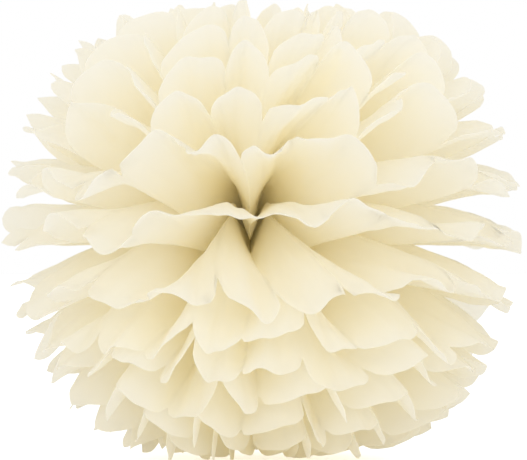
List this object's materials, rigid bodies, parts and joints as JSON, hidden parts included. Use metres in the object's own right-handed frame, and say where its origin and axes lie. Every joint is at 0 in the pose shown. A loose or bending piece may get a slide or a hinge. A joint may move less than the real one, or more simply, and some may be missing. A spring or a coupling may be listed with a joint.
{
  "type": "tissue paper pom pom",
  "caption": "Round hanging decoration of pleated ivory tissue sheets, tied round the middle with wire and pulled apart into layers of round-ended petals.",
  "frame": {"origin": "the middle of the tie, where the sheets are gathered under the wire", "axes": "+Z along the axis of the pom pom, towards the half that is pulled up; Y along the folds of the tied strip, with the front fan on -Y; X across the folds"},
  "size_m": [0.3533, 0.3491, 0.3035],
  "materials": {
    "tissue": "matt ivory tissue paper, thin enough for light to show through, creased at its folds",
    "wire": "plain steel binding wire, twisted at its ends"
  },
  "bodies": {
    "root": {"sheet_up_1": "tissue", "sheet_up_2": "tissue", "sheet_up_3": "tissue", "sheet_up_4": "tissue", "sheet_up_5": "tissue", "sheet_up_6": "tissue", "sheet_up_7": "tissue", "sheet_down_1": "tissue", "sheet_down_2": "tissue", "sheet_down_3": "tissue", "sheet_down_4": "tissue", "sheet_down_5": "tissue", "sheet_down_6": "tissue", "sheet_down_7": "tissue", "wire_tie": "wire"}
  },
  "joints": []
}
